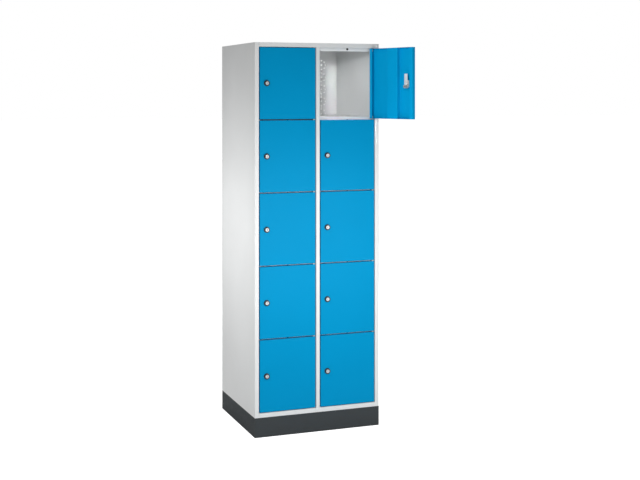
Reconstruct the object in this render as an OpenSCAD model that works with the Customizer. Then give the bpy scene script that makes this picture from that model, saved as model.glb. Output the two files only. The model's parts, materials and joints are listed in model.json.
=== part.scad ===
// Steel locker with two columns of five compartments, a coin-return lock in each door, and a plinth.
// The origin is on the floor, at the centre of the body's footprint. The doors face -Y, and +Z is up.

/* [Body] */
// Width of the body
cabinet_w = 620; // [580:10:700]
// Depth of the body, door faces included
cabinet_d = 500; // [450:10:600]
// Height from one compartment to the next
row_pitch = 334; // [310:2:360]
// Height of the front rails above and below the doors
rail_h = 20; // [18:1:30]
// Width of the front stiles beside the doors
stile_w = 20; // [18:1:26]
// Width of the mullion between the two columns of doors
mullion_w = 18; // [16:1:24]
// Depth of the folded front profiles
profile_d = 24; // [24:1:26]
// Thickness of the body's steel sheet
sheet = 1; // [0.8:0.1:1.2]

/* [Plinth] */
// Height of the plinth
plinth_h = 90; // [60:5:120]
// Thickness of the plinth's steel sheet
plinth_sheet = 1.5; // [1.5:0.5:2.5]
// Width of the plinth's inward flanges
plinth_flange = 40; // [36:1:50]
// Diameter of the holes for anchoring the plinth to the floor
anchor_hole_d = 9; // [7:0.5:11]

/* [Doors] */
// Gap between a door and the profile beside it
door_side_gap = 4.5; // [3:0.1:5]
// Gap between two doors, one above the other
door_gap = 5.5; // [4:0.5:6]
// Thickness of a door, over its folded edges
door_t = 20; // [18:1:20]
// Width of the folded return along a door's two long edges
door_return = 18; // [16:1:18]
// Angle to which the top right door stands open
open_angle = 110; // [0:5:110]
// Width of the stiffener's raised face
stiffener_face = 66; // [40:2:80]

/* [Hinges] */
// Distance of a hinge axis from the door's face and from its edge
hinge_inset = 6; // [5.5:0.1:6]
// Diameter of a hinge pin
pin_d = 6; // [4:0.5:6]
// Radial clearance of a hinge pin in its door
pin_play = 0.05; // [0.02:0.01:0.1]

/* [Locks] */
// Distance of a lock's axis from the free edge of its door
lock_inset = 32.5; // [32:0.5:36]
// Diameter of a lock's barrel where it shows on the door
barrel_d = 21.6; // [20:0.2:24]
// Diameter of the turning plug
plug_d = 15; // [14:0.5:16]
// Reach of the cam from the lock's axis
cam_reach = 43; // [42:0.5:43.5]
// Width of the cam
cam_w = 18; // [14:1:19]
// Diameter of the coin that the lock takes
coin_d = 23.25; // [20:0.25:23.5]
// Thickness of the coin
coin_t = 2.33; // [1.5:0.01:2.5]

/* [Back panel] */
// Diameter of a ventilation hole
vent_hole_d = 7; // [4:0.5:8]
// Radius of a ring of ventilation holes
vent_ring_r = 22.4; // [18:0.2:25]
// Height from one ring to the next
vent_pitch = 62; // [60:1:64]
// Distance between the two columns of rings behind a compartment
vent_column_pitch = 147; // [100:1:180]
// Diameter of the holes for fixing the back to a wall
wall_hole_d = 9; // [7:0.5:11]

/* [Hidden] */
$fn = 48;
rows = 5;
columns = 2;

// Heights of the body
base_z = plinth_h + rail_h;
doors_top_z = base_z + rows * row_pitch;
cabinet_h = doors_top_z + rail_h;
wall_bottom_z = plinth_h + sheet;
wall_top_z = cabinet_h - sheet;

// Planes of the body, from front to back
front_y = -cabinet_d / 2;
back_y = cabinet_d / 2;
side_x = cabinet_w / 2;
profile_back_y = front_y + profile_d;
door_back_gap = 2;
lip_y = front_y + door_t + door_back_gap;
opening_w = (cabinet_w - 2 * stile_w - mullion_w) / columns;
door_w = opening_w - 2 * door_side_gap;
door_h = row_pitch - door_gap;
axis_y = front_y + hinge_inset;

// Shelves and stops: a lip stands half its height above and below its row line
lip_h = 24;
stop_h = 16;
buffer_d = 10;
buffer_offset = 7;
buffer_play = 0.1;

// Stiffener of a door
stiffener_foot = 8;
stiffener_place = 0.465;

// Hinges
bracket_gap = 1.2;
bracket_t = door_gap - 2 * bracket_gap;
end_bracket_t = door_gap / 2 - bracket_gap;
bracket_r = 5.5;
boss_wall = 1.5;
boss_h = 14;
pin_reach = 12;

// Locks: depths are from the door's face, heights from the lock's axis
lock_play = 0.05;
barrel_proud = 8;
case_w = 27;
case_top = 13;
case_gap = 0.5;
case_depth = profile_d - case_gap;
chute_top = -9.8;
chute_bottom = -19;
chute_step = 6.5;
chute_depth = case_depth + chute_step;
coin_play_h = 0.6;
coin_play_w = 1;
slot_z = -14;
slot_h = coin_t + coin_play_h;
slot_w = coin_d + coin_play_w;
gate_t = 1.2;
gate_play = 0.15;
gate_h = 8;
gate_cover = 1.4;
gate_wall = 1.7;
gate_depth = chute_depth - gate_t - gate_wall;
key_slot_w = 2.6;
key_slot_h = 9;
key_slot_depth = 6;
cam_gap = 1;
cam_depth = profile_d + cam_gap;
cam_t = 2.5;
stub_w = 7;
nut_d = 13;
nut_t = 4;

// Ventilation: two columns of rings of holes behind each compartment
vent_rows = 5;
vent_first_z = 18;
ring_holes = 8;

// Fixings
wall_hole_x = 200;
wall_hole_drop = 16;
anchor_inset = 22;
plinth_bolt_side_inset = 24;
plinth_bolt_end_inset = 60;
plinth_bolt_d = 8;
plinth_bolt_l = 18;
bolt_play = 0.5;
bolt_head_d = 14.4;
bolt_head_h = 5.3;
rivet_d = 11;
rivet_h = 16;
rivet_flange_d = 14;
rivet_flange_h = 1.5;

// A box between two corners
module block(low, high) {
    translate(low) cube(high - low);
}

// Row 1 is the top one; the line is at the foot of the row's door opening
function row_line(row) = base_z + (rows - row) * row_pitch;
// Side is -1 for the left column and 1 for the right column
function opening_left(side) = side < 0 ? -side_x + stile_w : mullion_w / 2;
function free_edge(side) = opening_left(side) + door_side_gap;
function hinge_x(side) = free_edge(side) + door_w - hinge_inset;
function door_angle(side, row) = side > 0 && row == 1 ? open_angle : 0;

// ---- Body ----

module side_wall(side) {
    color("gainsboro") block(
        [side < 0 ? -side_x : side_x - sheet, front_y + sheet, wall_bottom_z],
        [side < 0 ? -side_x + sheet : side_x, back_y, wall_top_z]);
}

// Folded from one strip: a face, a return beside the doors, and a rear leg
module stile(side) {
    color("gainsboro") translate([0, 0, wall_bottom_z]) linear_extrude(wall_top_z - wall_bottom_z)
        mirror([side < 0 ? 0 : 1, 0])
        translate([-side_x, front_y]) {
            square([stile_w, sheet]);
            translate([stile_w - sheet, 0]) square([sheet, profile_d]);
            translate([sheet, profile_d - sheet]) square([stile_w - sheet, sheet]);
        }
}

module mullion() {
    color("gainsboro") translate([0, 0, base_z]) linear_extrude(doors_top_z - base_z)
        translate([-mullion_w / 2, front_y]) difference() {
            square([mullion_w, profile_d]);
            translate([sheet, sheet]) square([mullion_w - 2 * sheet, profile_d - 2 * sheet]);
        }
}

module centre_partition() {
    color("gainsboro") block(
        [-sheet / 2, profile_back_y, wall_bottom_z],
        [sheet / 2, back_y - sheet, wall_top_z]);
}

module cover_panel(z) {
    color("gainsboro") block([-side_x, front_y, z], [side_x, back_y, z + sheet]);
}

module top_panel() {
    cover_panel(wall_top_z);
}

module bottom_panel() {
    difference() {
        cover_panel(plinth_h);
        at_plinth_bolts() translate([0, 0, plinth_h - 1]) cylinder(d = rivet_d, h = sheet + 2);
    }
}

// A rail's fold, lying on the plane z = 0 with its closed side down
module rail_profile() {
    rail_w = cabinet_w - 2 * stile_w;
    free_h = rail_h - sheet;
    block([-rail_w / 2, front_y, 0], [rail_w / 2, front_y + sheet, free_h]);
    block([-rail_w / 2, front_y, 0], [rail_w / 2, profile_back_y, sheet]);
    block([-rail_w / 2, profile_back_y - sheet, 0], [rail_w / 2, profile_back_y, free_h]);
}

// The strip below the top rail, which the top edge of a door meets
module stop_strip(side) {
    block(
        [opening_left(side), lip_y, -stop_h],
        [opening_left(side) + opening_w, lip_y + sheet, 0]);
}

module top_rail() {
    color("gainsboro") translate([0, 0, doors_top_z]) {
        rail_profile();
        for (side = [-1, 1]) stop_strip(side);
    }
}

module bottom_rail() {
    color("gainsboro") translate([0, 0, base_z]) mirror([0, 0, 1]) rail_profile();
}

module vent_ring() {
    circle(d = vent_hole_d);
    for (turn = [0:ring_holes - 1])
        rotate(turn * 360 / ring_holes) translate([vent_ring_r, 0]) circle(d = vent_hole_d);
}

module vent_field() {
    for (column = [-1, 1], row = [0:vent_rows - 1])
        translate([column * vent_column_pitch / 2, vent_first_z + row * vent_pitch]) vent_ring();
}

module back_panel() {
    field_x = (opening_left(1) + opening_w + mullion_w / 2) / 2;
    color("gainsboro") translate([0, back_y, 0]) rotate([90, 0, 0]) linear_extrude(sheet) difference() {
        translate([-side_x + sheet, wall_bottom_z])
            square([cabinet_w - 2 * sheet, wall_top_z - wall_bottom_z]);
        for (side = [-1, 1], row = [1:rows]) translate([side * field_x, row_line(row)]) vent_field();
        for (side = [-1, 1])
            translate([side * wall_hole_x, wall_top_z - wall_hole_drop]) circle(d = wall_hole_d);
    }
}

// A floor sheet with a front lip, which reaches up behind the door above and down behind the door below
module shelf(side, reach_down) {
    left = opening_left(side);
    right = left + opening_w;
    wall_left = side < 0 ? -side_x + sheet : sheet / 2;
    wall_right = side < 0 ? -sheet / 2 : side_x - sheet;
    top = lip_h / 2;
    block([left, lip_y, -reach_down], [right, lip_y + sheet, top]);
    block([left, lip_y, top - sheet], [right, profile_back_y, top]);
    block([wall_left, profile_back_y, top - sheet], [wall_right, back_y - sheet, top]);
}

// The bottom shelf stands on the bottom rail, so its lip doesn't reach down
module shelves(side) {
    color("gainsboro") for (row = [1:rows])
        translate([0, 0, row_line(row)]) shelf(side, row == rows ? 0 : lip_h / 2);
}

// ---- Hinges ----

// A tab that carries one pin, welded to the lip behind it
module hinge_tab(thickness) {
    difference() {
        union() {
            cylinder(r = bracket_r, h = thickness);
            translate([-bracket_r, 0, 0]) cube([2 * bracket_r, lip_y - axis_y, thickness]);
        }
        translate([0, 0, -1]) cylinder(d = pin_d, h = thickness + 2);
    }
}

module hinge_brackets() {
    color("silver") for (side = [-1, 1]) translate([hinge_x(side), axis_y, 0]) {
        for (row = [1:rows - 1]) translate([0, 0, row_line(row) - bracket_t / 2]) hinge_tab(bracket_t);
        translate([0, 0, doors_top_z - end_bracket_t]) hinge_tab(end_bracket_t);
        translate([0, 0, base_z]) hinge_tab(end_bracket_t);
    }
}

module hinge_pins() {
    through = door_gap / 2 + pin_reach;
    color("silver") for (side = [-1, 1]) translate([hinge_x(side), axis_y, 0]) {
        for (row = [1:rows - 1])
            translate([0, 0, row_line(row) - through]) cylinder(d = pin_d, h = 2 * through);
        translate([0, 0, doors_top_z - through]) cylinder(d = pin_d, h = through);
        translate([0, 0, base_z]) cylinder(d = pin_d, h = through);
    }
}

// Rubber buttons on the stops, which meet the top edge of each door
module door_buffers() {
    buffer_t = door_back_gap - buffer_play;
    color("black") for (side = [-1, 1], row = [1:rows])
        translate([
            opening_left(side) + opening_w / 2 + buffer_offset, lip_y, row_line(row) + row_pitch - lip_h / 4])
        rotate([90, 0, 0]) cylinder(d = buffer_d, h = buffer_t);
}

// ---- Doors ----

// Places what is drawn for a closed door, with its free edge at x = 0 and its foot at z = 0
module at_door(side, row) {
    translate([hinge_x(side), axis_y, row_line(row) + door_gap / 2])
        rotate([0, 0, door_angle(side, row)])
        translate([hinge_inset - door_w, -hinge_inset, 0]) children();
}

// Places what is drawn round a lock's axis, for a closed door
module at_lock(side, row) {
    at_door(side, row) translate([lock_inset, 0, door_h / 2]) children();
}

// A cylinder along +Y, from one depth to another
module along_y(d, from, to, sides = 48) {
    translate([0, from, 0]) rotate([-90, 0, 0]) cylinder(d = d, h = to - from, $fn = sides);
}

// Places what is drawn on the hinge axis at the door's foot, and its mirror image at the door's head
module at_pivots() {
    translate([door_w - hinge_inset, hinge_inset, 0]) {
        children();
        translate([0, 0, door_h]) mirror([0, 0, 1]) children();
    }
}

// Folded from one sheet: a face, four edges, and a return along each long edge
module door_pan() {
    difference() {
        cube([door_w, door_t, door_h]);
        block([sheet, sheet, sheet], [door_w - sheet, door_t - sheet, door_h - sheet]);
        block([door_return, door_t - 2 * sheet, sheet], [door_w - door_return, door_t + 1, door_h - sheet]);
        translate([lock_inset, 0, door_h / 2]) along_y(barrel_d + 2 * lock_play, -1, sheet + 1);
        at_pivots() translate([0, 0, -1]) cylinder(d = pin_d + 2 * pin_play, h = sheet + 2);
    }
    at_pivots() translate([0, 0, sheet]) difference() {
        cylinder(d = pin_d + 2 * boss_wall, h = boss_h);
        translate([0, 0, -1]) cylinder(d = pin_d + 2 * pin_play, h = boss_h + 2);
    }
}

// Hat section: two feet on the door's face, two webs, and a raised face level with the door's edges
module door_stiffener() {
    half = stiffener_face / 2;
    top = door_t - sheet;
    translate([door_w * stiffener_place, 0, sheet]) linear_extrude(door_h - 2 * sheet) {
        translate([-half, top]) square([2 * half, sheet]);
        for (end = [-1, 1]) {
            translate([end * (half - sheet / 2) - sheet / 2, sheet]) square([sheet, top]);
            translate([end * (half + stiffener_foot / 2) - stiffener_foot / 2, sheet])
                square([stiffener_foot, sheet]);
        }
    }
}

module door(side, row) {
    color("deepskyblue") at_door(side, row) {
        door_pan();
        door_stiffener();
    }
}

// ---- Locks ----

// The barrel and the case in one casting. Below the plug a deeper chute takes the coin, edge first,
// through a slot in its rear face. A channel across the slot holds the gate.
module lock_case(side, row) {
    color("silver") at_lock(side, row) difference() {
        union() {
            along_y(barrel_d, -barrel_proud, sheet);
            block([-case_w / 2, sheet, chute_bottom], [case_w / 2, case_depth, case_top]);
            block([-case_w / 2, sheet, chute_bottom], [case_w / 2, chute_depth, chute_top]);
        }
        along_y(plug_d + 2 * lock_play, -barrel_proud - 1, case_depth + 1);
        block(
            [-slot_w / 2, 2 * sheet, slot_z - slot_h / 2],
            [slot_w / 2, chute_depth + 1, slot_z + slot_h / 2]);
        block(
            [-slot_w / 2 - gate_play, gate_depth - gate_play, chute_bottom - 1],
            [slot_w / 2 + gate_play, gate_depth + gate_t + gate_play, slot_z + slot_h / 2 + gate_cover]);
    }
}

// The square hole in the cam and in its nut
module stub_hole(from, to) {
    half = stub_w / 2 + lock_play;
    block([-half, from - 1, -half], [half, to + 1, half]);
}

// The plug with its key slot and square stub, the cam, and the nut that holds the cam on the stub.
// The cam points up while the door is unlocked, and turns a quarter to reach behind the profile.
module lock_cam(side, row) {
    nut_depth = cam_depth + cam_t + lock_play;
    color("lightgrey") at_lock(side, row) {
        difference() {
            union() {
                along_y(plug_d, -barrel_proud, cam_depth - lock_play);
                block([-stub_w / 2, case_depth, -stub_w / 2], [stub_w / 2, nut_depth + nut_t, stub_w / 2]);
            }
            block(
                [-key_slot_w / 2, -barrel_proud - 1, -key_slot_h / 2],
                [key_slot_w / 2, key_slot_depth - barrel_proud, key_slot_h / 2]);
        }
        difference() {
            union() {
                block([-cam_w / 2, cam_depth, 0], [cam_w / 2, cam_depth + cam_t, cam_reach]);
                along_y(cam_w, cam_depth, cam_depth + cam_t);
            }
            stub_hole(cam_depth, cam_depth + cam_t);
        }
        difference() {
            along_y(nut_d, nut_depth, nut_depth + nut_t, 6);
            stub_hole(nut_depth, nut_depth + nut_t);
        }
    }
}

// The plate that shuts over the coin as the lock turns. It hangs below the slot while the door is unlocked.
module coin_gate(side, row) {
    top = slot_z - slot_h / 2;
    color("dimgray") at_lock(side, row)
        block([-slot_w / 2, gate_depth, top - gate_h], [slot_w / 2, gate_depth + gate_t, top]);
}

// ---- Plinth ----

module at_plinth_bolts() {
    for (x = [-1, 1], y = [-1, 1])
        translate([x * (side_x - plinth_bolt_side_inset), y * (back_y - plinth_bolt_end_inset), 0])
        children();
}

// Four sides with an inward flange above and below
module plinth_frame() {
    color("dimgray") difference() {
        block([-side_x, front_y, 0], [side_x, back_y, plinth_h]);
        block(
            [-side_x + plinth_sheet, front_y + plinth_sheet, plinth_sheet],
            [side_x - plinth_sheet, back_y - plinth_sheet, plinth_h - plinth_sheet]);
        block(
            [-side_x + plinth_flange, front_y + plinth_flange, -1],
            [side_x - plinth_flange, back_y - plinth_flange, plinth_h + 1]);
        at_plinth_bolts() translate([0, 0, plinth_h / 2])
            cylinder(d = plinth_bolt_d + 2 * bolt_play, h = plinth_h);
        for (x = [-1, 1], y = [-1, 1])
            translate([x * (side_x - anchor_inset), y * (back_y - anchor_inset), -1])
            cylinder(d = anchor_hole_d, h = plinth_sheet + 2);
    }
}

// Hexagon bolts, put in from below through the plinth's upper flange
module plinth_bolts() {
    color("silver") at_plinth_bolts() translate([0, 0, plinth_h - plinth_sheet]) {
        translate([0, 0, -bolt_head_h]) cylinder(d = bolt_head_d, h = bolt_head_h, $fn = 6);
        cylinder(d = plinth_bolt_d, h = plinth_bolt_l);
    }
}

// Flanged nuts in the bottom panel, which the bolts screw into
module rivet_nuts() {
    color("silver") at_plinth_bolts() translate([0, 0, plinth_h]) difference() {
        union() {
            cylinder(d = rivet_d, h = rivet_h);
            translate([0, 0, sheet]) cylinder(d = rivet_flange_d, h = rivet_flange_h);
        }
        translate([0, 0, -1]) cylinder(d = plinth_bolt_d, h = rivet_h + 2);
    }
}

side_wall(-1);  // side_wall_left
side_wall(1);  // side_wall_right
stile(-1);  // stile_left
stile(1);  // stile_right
mullion();
centre_partition();
top_panel();
top_rail();
bottom_panel();
bottom_rail();
back_panel();
shelves(-1);  // shelves_left
shelves(1);  // shelves_right
hinge_brackets();
hinge_pins();
door_buffers();
plinth_frame();
plinth_bolts();
rivet_nuts();
door(-1, 1);  // door_left_1
door(-1, 2);  // door_left_2
door(-1, 3);  // door_left_3
door(-1, 4);  // door_left_4
door(-1, 5);  // door_left_5
door(1, 1);  // door_right_1
door(1, 2);  // door_right_2
door(1, 3);  // door_right_3
door(1, 4);  // door_right_4
door(1, 5);  // door_right_5
lock_case(-1, 1);  // lock_case_left_1
lock_case(-1, 2);  // lock_case_left_2
lock_case(-1, 3);  // lock_case_left_3
lock_case(-1, 4);  // lock_case_left_4
lock_case(-1, 5);  // lock_case_left_5
lock_case(1, 1);  // lock_case_right_1
lock_case(1, 2);  // lock_case_right_2
lock_case(1, 3);  // lock_case_right_3
lock_case(1, 4);  // lock_case_right_4
lock_case(1, 5);  // lock_case_right_5
lock_cam(-1, 1);  // lock_cam_left_1
lock_cam(-1, 2);  // lock_cam_left_2
lock_cam(-1, 3);  // lock_cam_left_3
lock_cam(-1, 4);  // lock_cam_left_4
lock_cam(-1, 5);  // lock_cam_left_5
lock_cam(1, 1);  // lock_cam_right_1
lock_cam(1, 2);  // lock_cam_right_2
lock_cam(1, 3);  // lock_cam_right_3
lock_cam(1, 4);  // lock_cam_right_4
lock_cam(1, 5);  // lock_cam_right_5
coin_gate(-1, 1);  // coin_gate_left_1
coin_gate(-1, 2);  // coin_gate_left_2
coin_gate(-1, 3);  // coin_gate_left_3
coin_gate(-1, 4);  // coin_gate_left_4
coin_gate(-1, 5);  // coin_gate_left_5
coin_gate(1, 1);  // coin_gate_right_1
coin_gate(1, 2);  // coin_gate_right_2
coin_gate(1, 3);  // coin_gate_right_3
coin_gate(1, 4);  // coin_gate_right_4
coin_gate(1, 5);  // coin_gate_right_5
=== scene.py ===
"""Looks for the coin operated locker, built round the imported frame. Lengths are in metres."""
import json
import math

import bmesh
import bpy
from mathutils import Matrix, Vector


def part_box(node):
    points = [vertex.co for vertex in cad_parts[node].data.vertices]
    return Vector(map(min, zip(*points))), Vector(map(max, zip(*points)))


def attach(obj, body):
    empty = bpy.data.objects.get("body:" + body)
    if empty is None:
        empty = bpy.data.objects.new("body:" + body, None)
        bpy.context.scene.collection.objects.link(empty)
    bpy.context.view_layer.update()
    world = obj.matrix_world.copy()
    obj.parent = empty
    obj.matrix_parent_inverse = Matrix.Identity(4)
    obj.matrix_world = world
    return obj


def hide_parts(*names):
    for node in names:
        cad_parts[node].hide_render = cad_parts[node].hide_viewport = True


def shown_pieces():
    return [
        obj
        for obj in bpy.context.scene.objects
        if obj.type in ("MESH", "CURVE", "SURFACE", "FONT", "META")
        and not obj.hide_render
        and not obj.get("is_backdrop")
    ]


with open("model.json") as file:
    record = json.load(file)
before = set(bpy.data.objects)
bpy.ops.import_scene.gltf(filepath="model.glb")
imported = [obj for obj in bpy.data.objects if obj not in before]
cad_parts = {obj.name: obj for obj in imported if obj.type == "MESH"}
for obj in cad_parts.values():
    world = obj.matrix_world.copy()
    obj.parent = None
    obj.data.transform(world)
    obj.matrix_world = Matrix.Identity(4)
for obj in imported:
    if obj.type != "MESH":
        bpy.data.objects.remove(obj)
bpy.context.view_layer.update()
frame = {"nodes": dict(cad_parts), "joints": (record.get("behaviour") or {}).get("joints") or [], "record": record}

MM = 0.001
SHEET = 1.0 * MM  # thickness of the body's and the doors' steel
BEND = 2.2 * MM  # outer radius of its folds
PLAY = 0.05 * MM  # gap between pieces that lie against each other
BARREL = 10.85 * MM  # radius of a lock's barrel, and of the hole it fills in the door

SIDES = ("left", "right")
ROWS = range(1, 6)
LOCKERS = [f"{side}_{row}" for side in SIDES for row in ROWS]

JOINTS = {joint["name"]: joint for joint in frame["joints"]}


# ---- Material nodes ----

class Shader:
    """A Principled material with short names for the nodes used here."""

    def __init__(self, name):
        self.material = bpy.data.materials.new(name)
        self.material.use_nodes = True
        self.tree = self.material.node_tree
        self.bsdf = self.tree.nodes["Principled BSDF"]
        self.place = self.node("ShaderNodeTexCoord").outputs["Object"]

    def node(self, kind, **settings):
        made = self.tree.nodes.new(kind)
        for key, value in settings.items():
            setattr(made, key, value)
        return made

    def feed(self, socket, value):
        """Links a socket, or sets it to a plain value."""
        if isinstance(value, bpy.types.NodeSocket):
            self.tree.links.new(value, socket)
        else:
            socket.default_value = value

    def noise(self, per_metre, detail=2.0, stretch=(1, 1, 1), seed=0.0):
        """A noise pattern, mostly between 0.3 and 0.7, with per_metre features a metre."""
        mapping = self.node("ShaderNodeMapping")
        self.feed(mapping.inputs["Vector"], self.place)
        mapping.inputs["Scale"].default_value = stretch
        mapping.inputs["Location"].default_value = (seed, seed, seed)
        made = self.node("ShaderNodeTexNoise")
        self.feed(made.inputs["Vector"], mapping.outputs["Vector"])
        made.inputs["Scale"].default_value = per_metre
        made.inputs["Detail"].default_value = detail
        return made.outputs["Fac"]

    def span(self, value, low, high, to_low, to_high):
        """Maps low..high to to_low..to_high, and holds it there."""
        made = self.node("ShaderNodeMapRange")
        for name, number in zip(("Value", "From Min", "From Max", "To Min", "To Max"),
                                (value, low, high, to_low, to_high)):
            self.feed(made.inputs[name], number)
        return made.outputs["Result"]

    def product(self, first, second):
        made = self.node("ShaderNodeMath", operation="MULTIPLY", use_clamp=True)
        self.feed(made.inputs[0], first)
        self.feed(made.inputs[1], second)
        return made.outputs["Value"]

    def mix(self, amount, first, second):
        """Goes from the first colour to the second. Sockets 6, 7 and 2 are the node's colour ones."""
        made = self.node("ShaderNodeMix", data_type="RGBA")
        self.feed(made.inputs["Factor"], amount)
        self.feed(made.inputs[6], first)
        self.feed(made.inputs[7], second)
        return made.outputs[2]

    def bump(self, *layers):
        """Stacks (height, depth in metres, strength) layers and drives the normal with them."""
        normal = None
        for height, depth, strength in layers:
            made = self.node("ShaderNodeBump")
            made.inputs["Distance"].default_value = depth
            made.inputs["Strength"].default_value = strength
            self.feed(made.inputs["Height"], height)
            if normal is not None:
                self.feed(made.inputs["Normal"], normal)
            normal = made.outputs["Normal"]
        self.feed(self.bsdf.inputs["Normal"], normal)

    def edges(self, radius):
        """1 within radius of a sharp edge, falling to 0 on flat faces."""
        rounded = self.node("ShaderNodeBevel", samples=4)
        rounded.inputs["Radius"].default_value = radius
        flat = self.node("ShaderNodeNewGeometry")
        likeness = self.node("ShaderNodeVectorMath", operation="DOT_PRODUCT")
        self.feed(likeness.inputs[0], rounded.outputs["Normal"])
        self.feed(likeness.inputs[1], flat.outputs["Normal"])
        return self.span(likeness.outputs["Value"], 0.97, 0.80, 0.0, 1.0)

    def facing_up(self):
        """1 on level upper faces, where dust settles."""
        split = self.node("ShaderNodeSeparateXYZ")
        self.feed(split.inputs[0], self.node("ShaderNodeNewGeometry").outputs["Normal"])
        return self.span(split.outputs["Z"], 0.8, 1.0, 0.0, 1.0)

    def finish(self, colour, roughness, metallic=0.0, specular=0.5):
        self.feed(self.bsdf.inputs["Base Color"], colour)
        self.feed(self.bsdf.inputs["Roughness"], roughness)
        self.bsdf.inputs["Metallic"].default_value = metallic
        self.bsdf.inputs["Specular IOR Level"].default_value = specular
        return self.material


# ---- Materials ----

BODY_GREY = (0.79, 0.802, 0.802)
DOOR_BLUE = (0.0, 0.288, 0.57)
PLINTH_GREY = (0.054, 0.061, 0.065)
CAST_ZINC = (0.62, 0.61, 0.58)
LOCK_STEEL = (0.72, 0.74, 0.76)
GATE_STEEL = (0.60, 0.60, 0.60)
ZINC_PLATE = (0.62, 0.64, 0.66)
PLATE_YELLOW = (0.66, 0.63, 0.55, 1.0)
RUBBER_BLACK = (0.018, 0.018, 0.019)
# Near black of the lock collar: partly its plastic's colour, partly painted shade for the lock's shadow
COLLAR_BLACK_AND_PAINTED_SHADE = (0.022, 0.024, 0.028)
DUST = (0.52, 0.50, 0.47, 1.0)


def shade(colour, factor):
    return tuple(min(1.0, channel * factor) for channel in colour) + (1.0,)


def powder_coat(name, colour, roughness=0.42, specular=0.4):
    """Baked powder on steel: orange peel, faint cloudiness, softly worn edges and settled dust."""
    s = Shader(name)
    clouds = s.span(s.noise(3.0, 3.0), 0.3, 0.7, 0.0, 1.0)
    base = s.mix(clouds, shade(colour, 0.975), shade(colour, 1.025))
    chips = s.span(s.noise(160.0, 4.0, seed=3.0), 0.54, 0.66, 0.0, 0.5)
    worn_through = tuple(0.5 * channel + 0.25 for channel in colour) + (1.0,)
    base = s.mix(s.product(s.edges(0.7 * MM), chips), base, worn_through)
    settled = s.span(s.noise(40.0, 5.0, seed=7.0), 0.35, 0.75, 0.02, 0.14)
    base = s.mix(s.product(s.facing_up(), settled), base, DUST)
    sheen = s.span(s.noise(70.0, 4.0, seed=11.0), 0.3, 0.7, roughness - 0.05, roughness + 0.05)
    orange_peel = s.noise(9.0, 1.0, seed=5.0)
    grain = s.noise(950.0, 1.5)
    s.bump((orange_peel, 0.9 * MM, 0.25), (grain, 0.06 * MM, 0.35))
    return s.finish(base, sheen, specular=specular)


def metal(name, colour, roughness, scratch=(1, 1, 14), tint=None, metallic=1.0):
    """Plated or brushed metal with fine scratches in one direction and an uneven sheen."""
    s = Shader(name)
    blotches = s.span(s.noise(180.0, 3.0), 0.35, 0.65, 0.0, 1.0)
    base = s.mix(blotches, shade(colour, 0.9), tint or shade(colour, 1.05))
    scratches = s.noise(1500.0, 3.0, stretch=scratch, seed=2.0)
    s.bump((scratches, 0.03 * MM, 0.3))
    sheen = s.span(scratches, 0.3, 0.7, roughness - 0.06, roughness + 0.10)
    return s.finish(base, sheen, metallic=metallic)


def moulded(name, colour, roughness):
    """Moulded rubber or plastic with a fine matt grain."""
    s = Shader(name)
    flecks = s.span(s.noise(500.0, 3.0), 0.35, 0.65, 0.0, 1.0)
    base = s.mix(flecks, shade(colour, 0.85), shade(colour, 1.2))
    s.bump((s.noise(2200.0, 2.0), 0.05 * MM, 0.4))
    sheen = s.span(s.noise(300.0), 0.3, 0.7, roughness - 0.08, roughness + 0.08)
    return s.finish(base, sheen)


MATERIALS = {
    "body_paint": powder_coat("body_paint", BODY_GREY),
    "door_paint": powder_coat("door_paint", DOOR_BLUE, specular=0.04),
    "plinth_paint": powder_coat("plinth_paint", PLINTH_GREY, roughness=0.6, specular=0.1),
    "lock_zinc": metal("lock_zinc", CAST_ZINC, 0.42, metallic=0.7),
    "lock_steel": metal("lock_steel", LOCK_STEEL, 0.5, metallic=0.4),
    "gate_steel": metal("gate_steel", GATE_STEEL, 0.30, scratch=(14, 1, 1)),
    "zinc_plated_steel": metal("zinc_plated_steel", ZINC_PLATE, 0.36, tint=PLATE_YELLOW),
    "buffer_rubber": moulded("buffer_rubber", RUBBER_BLACK, 0.75),
    # The collar's dark finish is partly painted shade for the shadow round each lock
    "collar_plastic_and_painted_shade": moulded("collar_plastic_and_painted_shade", COLLAR_BLACK_AND_PAINTED_SHADE, 0.4),
}


# ---- Mesh building ----

TOUCHING = 0.001 * MM  # points no further apart than this are one point


def new_piece(name, bm, slot, body, smooth=35.0):
    """Turns a bmesh into a piece that rides on a body and has the finish of a slot."""
    bmesh.ops.recalc_face_normals(bm, faces=bm.faces)
    mesh = bpy.data.meshes.new(name)
    bm.to_mesh(mesh)
    bm.free()
    piece = bpy.data.objects.new(name, mesh)
    bpy.context.scene.collection.objects.link(piece)
    mesh.materials.append(MATERIALS[slot])
    mesh.shade_smooth()
    mesh.set_sharp_from_angle(angle=math.radians(smooth))
    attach(piece, body)
    return piece


def turned(vector, angle):
    return Matrix.Rotation(angle, 2) @ vector


def fold_path(corners, steps=5):
    """(point, direction) along a folded sheet's outer line, with a bend at each corner between its ends."""
    corners = [Vector(corner) for corner in corners]
    legs = [(b - a).normalized() for a, b in zip(corners, corners[1:])]
    path = [(corners[0], legs[0])]
    for corner, into, out in zip(corners[1:], legs, legs[1:]):
        turn = math.atan2(into.cross(out), into.dot(out))
        quarter = math.copysign(math.pi / 2, turn)
        start = corner - into * BEND * math.tan(abs(turn) / 2)
        centre = start + turned(into, quarter) * BEND
        for step in range(steps + 1):
            along = turned(into, turn * step / steps)
            path.append((centre - turned(along, quarter) * BEND, along))
    path.append((corners[-1], legs[-1]))
    # A leg that is all bend has two points in one place, and only the second is kept.
    apart = [(a - b).length > TOUCHING for (a, _), (b, _) in zip(path, path[1:])] + [True]
    return [stop for stop, kept in zip(path, apart) if kept]


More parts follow.
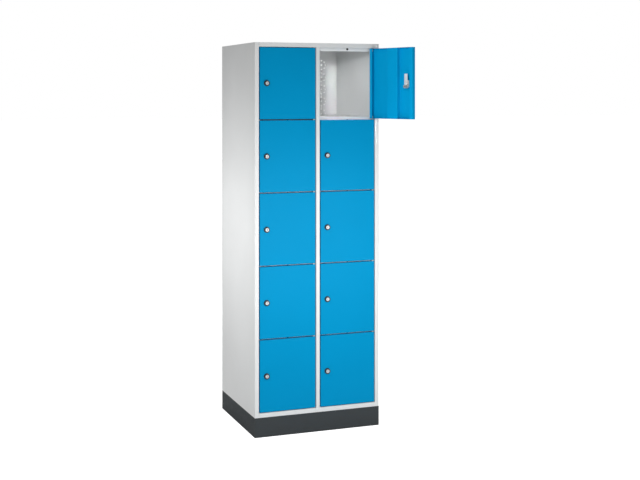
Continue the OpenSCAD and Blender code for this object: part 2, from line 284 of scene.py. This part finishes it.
def folded_strip(corners, low, high, place=Vector):
    """A strip folded along corners in plan, with its sheet on their left, from one height to another."""
    bm = bmesh.new()
    path = fold_path(corners)
    rings = []
    for level in (low, high):
        outer = [bm.verts.new(place((point.x, point.y, level))) for point, _ in path]
        inner = [bm.verts.new(place((*(point + turned(along, math.pi / 2) * SHEET), level)))
                 for point, along in path]
        rings.append(outer + inner[::-1])
    bottom, top = rings
    count = len(bottom)
    for i in range(count):
        j = (i + 1) % count
        bm.faces.new((bottom[i], bottom[j], top[j], top[i]))
    for ring in rings:
        for i in range(len(path) - 1):
            bm.faces.new((ring[i], ring[i + 1], ring[count - 2 - i], ring[count - 1 - i]))
    return bm


def lathe(profile, around, along, steps=48):
    """A closed profile of (radius, distance along) points, turned about the line through around."""
    bm = bmesh.new()
    spin = along.normalized().to_track_quat("Z", "Y").to_matrix()
    rings = []
    for step in range(steps):
        angle = 2 * math.pi * step / steps
        rings.append([
            bm.verts.new(around + spin @ Vector((r * math.cos(angle), r * math.sin(angle), z)))
            for r, z in profile])
    for ring, following in zip(rings, rings[1:] + rings[:1]):
        for i in range(len(profile)):
            j = (i + 1) % len(profile)
            bm.faces.new((ring[i], ring[j], following[j], following[i]))
    return bm


def flatten(piece):
    """Keeps the shading of broad faces flat where they run into a rounded fold."""
    piece.modifiers.new("flat", "WEIGHTED_NORMAL").keep_sharp = True


# ---- Carried-over CAD nodes ----

EDGE_ROUNDING = {
    "lock_zinc": 0.5 * MM, "lock_steel": 0.45 * MM, "plinth_paint": 0.6 * MM, "buffer_rubber": 0.5 * MM}
OTHER_ROUNDING = 0.35 * MM
SHARP_DEGREES = 40


def soften(node, width):
    """Rounds the sharp edges of a CAD node with modifiers, which leave its mesh as it is."""
    weld = node.modifiers.new("join", "WELD")
    weld.merge_threshold = 0.005 * MM
    bevel = node.modifiers.new("round", "BEVEL")
    bevel.width = width
    bevel.segments = 2
    bevel.limit_method = "ANGLE"
    bevel.angle_limit = math.radians(SHARP_DEGREES)
    bevel.use_clamp_overlap = True
    bevel.harden_normals = False


def dress_nodes():
    """Gives each CAD node its material and rounds its edges, except those of the many holes at the back."""
    slots = {part["node"]: part["material_slot"] for part in frame["record"]["subparts"]}
    for name, node in frame["nodes"].items():
        for slot in node.material_slots:
            slot.material = MATERIALS[slots[name]]
        if name != "back_panel":
            soften(node, EDGE_ROUNDING.get(slots[name], OTHER_ROUNDING))


# ---- Body sheets with true folds ----

SEAM = 0.4 * MM  # gap between the edges of the mullion's strip


def body_side(side):
    """Side wall and front stile, folded from one sheet. The right one mirrors the left one."""
    lo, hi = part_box(f"side_wall_{side}")
    stile_lo, stile_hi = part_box(f"stile_{side}")
    hand = 1 if side == "left" else -1
    outer, inner = (lo.x, stile_hi.x) if side == "left" else (-hi.x, -stile_lo.x)
    front, rear = stile_lo.y, stile_hi.y
    end = outer + 1.5 * SHEET  # half a sheet short of the wall
    corners = [(outer, hi.y), (outer, front), (inner, front), (inner, rear), (end, rear)]
    bm = folded_strip(corners, lo.z, hi.z, lambda p: Vector((hand * p[0], p[1], p[2])))
    piece = new_piece(f"body_side_{side}", bm, "body_paint", "cabinet")
    flatten(piece)
    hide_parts(f"side_wall_{side}", f"stile_{side}")


def mullion():
    """A tube folded from one strip, with its seam at the back."""
    lo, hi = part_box("mullion")
    corners = [(-SEAM / 2, hi.y), (lo.x, hi.y), (lo.x, lo.y), (hi.x, lo.y), (hi.x, hi.y), (SEAM / 2, hi.y)]
    piece = new_piece("mullion_tube", folded_strip(corners, lo.z, hi.z), "body_paint", "cabinet")
    flatten(piece)
    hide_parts("mullion")


# ---- Doors ----

DOOR_RETURN = 18 * MM  # width of the flanges along the door's upright edges
STIFFENER_HALF = 33 * MM  # half the width of the stiffener's raised part
STIFFENER_FOOT = 8 * MM  # width of the flange on each side of it
STIFFENER_PLACE = 0.465  # its middle, as a share of the door's width from the free edge
HINGE_INSET = 6 * MM  # hinge axis from the door's front and from its hinge edge
PIN_HOLE = 3.05 * MM  # radius


def door_place(name):
    """(matrix from a closed door's free corner to where the door stands at rest, the door's size).

    Doors of one side are alike, and row 2's are shut at rest, so row 1's take their size from those.
    """
    joint = JOINTS[f"door_{name}_hinge"]
    side, row = name.split("_")
    closed_lo, closed_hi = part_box(f"door_{side}_{2 if row == '1' else row}")
    axis = Vector(joint["pos_m"])
    opened = math.radians(-joint["range_deg"][0])
    swing = Matrix.Translation(axis) @ Matrix.Rotation(opened, 4, "Z") @ Matrix.Translation(-axis)
    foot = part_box(f"door_{name}")[0].z
    return swing @ Matrix.Translation((closed_lo.x, closed_lo.y, foot)), closed_hi - closed_lo


def pierce(bm, normal, centre, radius, steps=40):
    """Cuts a round hole in the flat face that looks along normal."""
    bm.normal_update()
    face = next(f for f in bm.faces if f.normal.dot(normal) > 0.999)
    level = face.verts[0].co.dot(normal)
    rim = list(face.edges)
    bmesh.ops.delete(bm, geom=[face], context="FACES_ONLY")
    across = normal.orthogonal().normalized()
    along = normal.cross(across)
    middle = centre - normal * (centre.dot(normal) - level)
    ring = []
    for step in range(steps):
        angle = 2 * math.pi * step / steps
        spoke = across * math.cos(angle) + along * math.sin(angle)
        ring.append(bm.verts.new(middle + spoke * radius))
    hole = [bm.edges.new(pair) for pair in zip(ring, ring[1:] + ring[:1])]
    bmesh.ops.triangle_fill(bm, edges=rim + hole, use_beauty=True, normal=normal)


def door_pan(size, lock):
    """The pan's bare surface: a face and four edges, with holes for the lock and the pins."""
    bm = bmesh.new()
    w, t, h = size
    front = [bm.verts.new(corner) for corner in ((0, 0, 0), (w, 0, 0), (w, 0, h), (0, 0, h))]
    back = [bm.verts.new((vert.co.x, t - BEND, vert.co.z)) for vert in front]
    for i, j in ((1, 2), (3, 0)):
        bm.faces.new((front[i], front[j], back[j], back[i]))
    for i, j, ends in ((0, 1, (w - BEND, BEND)), (2, 3, (BEND, w - BEND))):
        rear = [bm.verts.new((x, t, front[i].co.z)) for x in ends]
        bm.faces.new((front[i], front[j], back[j], *rear, back[i]))
    bm.faces.new(front)
    bmesh.ops.recalc_face_normals(bm, faces=bm.faces)
    rims = [bm.edges.get(pair) for pair in zip(front, front[1:] + front[:1])]
    bmesh.ops.bevel(bm, geom=rims, offset=BEND, offset_type="OFFSET", segments=5, profile=0.5,
                    affect="EDGES", clamp_overlap=True)
    pierce(bm, Vector((0, -1, 0)), lock, BARREL)
    pin = Vector((w - HINGE_INSET, HINGE_INSET, 0))
    for end in (-1, 1):
        pierce(bm, Vector((0, 0, end)), pin, PIN_HOLE, steps=24)
    return bm


def door_strips(size):
    """The folds inside the pan: a return along each upright edge, and the spot-welded stiffener."""
    w, t, _ = size
    middle, foot = w * STIFFENER_PLACE, 2 * SHEET
    half, whole = STIFFENER_HALF, STIFFENER_HALF + STIFFENER_FOOT
    return {
        "return_free": [(DOOR_RETURN, t), (0, t), (0, t - BEND)],
        "return_hinge": [(w, t - BEND), (w, t), (w - DOOR_RETURN, t)],
        "stiffener": [(middle + whole, foot), (middle + half, foot), (middle + half, t),
                      (middle - half, t), (middle - half, foot), (middle - whole, foot)],
    }


def build_door(name):
    """The pan and the folds inside it, where the door stands at rest."""
    place, size = door_place(name)
    bm = door_pan(size, place.inverted() @ Vector(JOINTS[f"lock_{name}_turn"]["pos_m"]))
    bmesh.ops.transform(bm, matrix=place, verts=bm.verts)
    pan = new_piece(f"door_pan_{name}", bm, "door_paint", f"door_{name}")
    thick = pan.modifiers.new("sheet", "SOLIDIFY")
    thick.thickness = SHEET
    thick.offset = -1.0
    thick.use_even_offset = True
    flatten(pan)
    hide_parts(f"door_{name}")
    end_gap = SHEET + PLAY
    for part, corners in door_strips(size).items():
        strip = folded_strip(corners, end_gap, size.z - end_gap)
        bmesh.ops.transform(strip, matrix=place, verts=strip.verts)
        flatten(new_piece(f"door_{part}_{name}", strip, "door_paint", f"door_{name}"))


# ---- Lock trim ----

COLLAR_MOUTH = 8.4 * MM  # radius of the opening in front of the barrel
COLLAR_WALL = 1.6 * MM  # thickness round the barrel
COLLAR_FOOT = 2.8 * MM  # how far the foot reaches out from the barrel
COLLAR_LIP = 0.6 * MM  # how far the rim stands in front of the barrel
MOUTH_BEVEL = 0.2 * MM
RIM_ROUND = 1.2 * MM  # radius of the rim's outer edge
FLARE_HEIGHT = 1.6 * MM
FOOT_EDGE = 0.6 * MM  # thickness of the foot at its edge
FLARE_HOLLOW = 1.26  # 1 gives the foot a straight cone, and more a hollow one


def barrel_reach():
    """How far a lock's barrel stands out of its door, measured at a shut one."""
    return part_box("door_left_2")[0].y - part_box("lock_case_left_2")[0].y


def lock_collar(name):
    """The collar that covers a lock's barrel and spreads onto the door's face. Its near black is partly the
    plastic's own colour and partly painted shade for the shadow round the lock.
    """
    joint = JOINTS[f"lock_{name}_turn"]
    seat = barrel_reach() + PLAY
    front, wall, foot = seat + COLLAR_LIP, BARREL + COLLAR_WALL, BARREL + COLLAR_FOOT
    profile = [(BARREL, PLAY), (BARREL, seat), (COLLAR_MOUTH, seat),
               (COLLAR_MOUTH, front - MOUTH_BEVEL), (COLLAR_MOUTH + MOUTH_BEVEL, front)]
    for angle in (0, math.pi / 4, math.pi / 2):
        cut_in, cut_down = RIM_ROUND * (1 - math.sin(angle)), RIM_ROUND * (1 - math.cos(angle))
        profile.append((wall - cut_in, front - cut_down))
    for share in (0, 1 / 3, 2 / 3, 1):
        reach, rise = share ** FLARE_HOLLOW, (1 - share) ** FLARE_HOLLOW
        profile.append((wall + (foot - wall) * reach, FOOT_EDGE + FLARE_HEIGHT * rise))
    profile.append((foot, PLAY))
    bm = lathe(profile, Vector(joint["pos_m"]), Vector(joint["axis"]))
    new_piece(f"lock_collar_{name}", bm, "collar_plastic_and_painted_shade", f"door_{name}", smooth=30)


# ---- Stage ----

FLOOR_REACH = 60.0
FLOOR_WHITE = (0.86, 0.86, 0.86, 1.0)
FLOOR_GLOW = 0.87
SKY_LIGHT = 0.23


def stage_floor():
    """A pale floor that looks evenly lit to the camera and doesn't light the locker more for it."""
    bm = bmesh.new()
    bmesh.ops.create_grid(bm, x_segments=4, y_segments=4, size=FLOOR_REACH)
    mesh = bpy.data.meshes.new("floor")
    bm.to_mesh(mesh)
    bm.free()
    floor = bpy.data.objects.new("floor", mesh)
    bpy.context.scene.collection.objects.link(floor)
    s = Shader("floor_white")
    s.bsdf.inputs["Emission Color"].default_value = (1, 1, 1, 1)
    camera_ray = s.node("ShaderNodeLightPath").outputs["Is Camera Ray"]
    s.feed(s.bsdf.inputs["Emission Strength"], s.product(camera_ray, FLOOR_GLOW))
    mesh.materials.append(s.finish(FLOOR_WHITE, 0.9, specular=0.0))
    floor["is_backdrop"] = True


def world_light():
    """White to the camera, and a dimmer soft fill to the locker."""
    world = bpy.data.worlds.new("studio")
    bpy.context.scene.world = world
    world.use_nodes = True
    tree = world.node_tree
    path = tree.nodes.new("ShaderNodeLightPath")
    span = tree.nodes.new("ShaderNodeMapRange")
    span.inputs["To Min"].default_value = SKY_LIGHT
    span.inputs["To Max"].default_value = 1.0
    tree.links.new(path.outputs["Is Camera Ray"], span.inputs["Value"])
    back = tree.nodes["Background"]
    back.inputs["Color"].default_value = (1, 1, 1, 1)
    tree.links.new(span.outputs["Result"], back.inputs["Strength"])


# ---- Lamps ----

def softbox(name, at, towards, size, power, spread=180, lit=()):
    """A lamp that the camera doesn't see, power in watts. If lit names pieces, it lights only those."""
    lamp = bpy.data.lights.new(name, "AREA")
    lamp.shape = "RECTANGLE"
    lamp.size, lamp.size_y = size
    lamp.energy = power
    lamp.spread = math.radians(spread)
    box = bpy.data.objects.new(name, lamp)
    bpy.context.scene.collection.objects.link(box)
    box.location = at
    box.rotation_mode = "QUATERNION"
    box.rotation_quaternion = (Vector(towards) - Vector(at)).to_track_quat("-Z", "Y")
    box.visible_camera = False
    if lit:
        receivers = bpy.data.collections.new(f"{name}_receivers")
        for piece in lit:
            receivers.objects.link(bpy.data.objects[piece])
        box.light_linking.receiver_collection = receivers


def light_body():
    """A large lamp for each seen face of the body, a high one for depth, and one for the back."""
    softbox("front_box", at=(0.0, -1.15, 0.83), towards=(0.0, 0.0, 0.83), size=(1.4, 0.75), power=8.9)
    softbox("left_box", at=(-1.1, 0.05, 0.96), towards=(0.0, 0.05, 0.96), size=(0.5, 0.3), power=5.1)
    softbox("key_box", at=(-1.6, -3.2, 2.6), towards=(0.0, 0.0, 1.2), size=(0.8, 0.8), power=32)
    softbox("back_box", at=(1.6, 2.6, 2.2), towards=(0.0, 0.0, 0.9), size=(1.2, 1.2), power=64)


def light_open_locker():
    """Lamps that light only the inside of the open locker and its door."""
    inside = ("back_panel", "shelves_right", "body_side_right")
    softbox("inside_box", at=(-1.13, -2.6, 2.02), towards=(0.22, 0.0, 1.59), size=(0.1, 0.1),
            power=0.37, spread=16, lit=inside)
    softbox("fill_box", at=(-0.5, -2.6, 1.75), towards=(0.15, 0.0, 1.6), size=(0.3, 0.3),
            power=0.07, spread=24, lit=inside)
    on_door = [piece.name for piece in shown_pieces() if piece.name.endswith("right_1")]
    softbox("door_box", at=(-1.6, -1.9, 1.75), towards=(0.33, -0.37, 1.6), size=(0.5, 0.5),
            power=23, lit=on_door)


# ---- Camera ----

VIEW_YAW = math.radians(18.87)
VIEW_DISTANCE = 4.928  # from the body's front left edge
VIEW_OFFSET = 0.013  # how far to the left of that edge
EYE_HEIGHT = 1.563
FOCAL_MM = 61.03
LENS_SHIFT = (0.10625, -0.2278)
SHIFT_HOLD = 0.03  # how far the camera may move along Y and keep its shift


def photo_camera():
    """A level camera with a shifted lens. The shift holds only here, so that other views are centred."""
    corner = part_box("plinth_frame")[0]
    forward = Vector((math.sin(VIEW_YAW), math.cos(VIEW_YAW), 0))
    right = Vector((math.cos(VIEW_YAW), -math.sin(VIEW_YAW), 0))
    data = bpy.data.cameras.new("camera")
    data.lens = FOCAL_MM
    data.clip_end = 200
    cam = bpy.data.objects.new("camera", data)
    bpy.context.scene.collection.objects.link(cam)
    cam.location = corner - forward * VIEW_DISTANCE - right * VIEW_OFFSET
    cam.location.z = EYE_HEIGHT
    cam.rotation_euler = (math.pi / 2, 0, -VIEW_YAW)
    for path, shift in zip(("shift_x", "shift_y"), LENS_SHIFT):
        curve = data.driver_add(path)
        curve.modifiers.remove(curve.modifiers[0])
        curve.driver.type = "SUM"
        variable = curve.driver.variables.new()
        variable.type = "TRANSFORMS"
        variable.targets[0].id = cam
        variable.targets[0].transform_type = "LOC_Y"
        for offset, value in ((-2 * SHIFT_HOLD, 0), (-SHIFT_HOLD, shift), (SHIFT_HOLD, 0)):
            key = curve.keyframe_points.insert(cam.location.y + offset, value)
            key.interpolation = "CONSTANT"
    bpy.context.scene.camera = cam


# ---- The scene ----

dress_nodes()
for side in SIDES:
    body_side(side)
mullion()
for name in LOCKERS:
    build_door(name)
    lock_collar(name)

stage_floor()
world_light()
light_body()
light_open_locker()
photo_camera()
bpy.context.scene.view_settings.view_transform = "Standard"
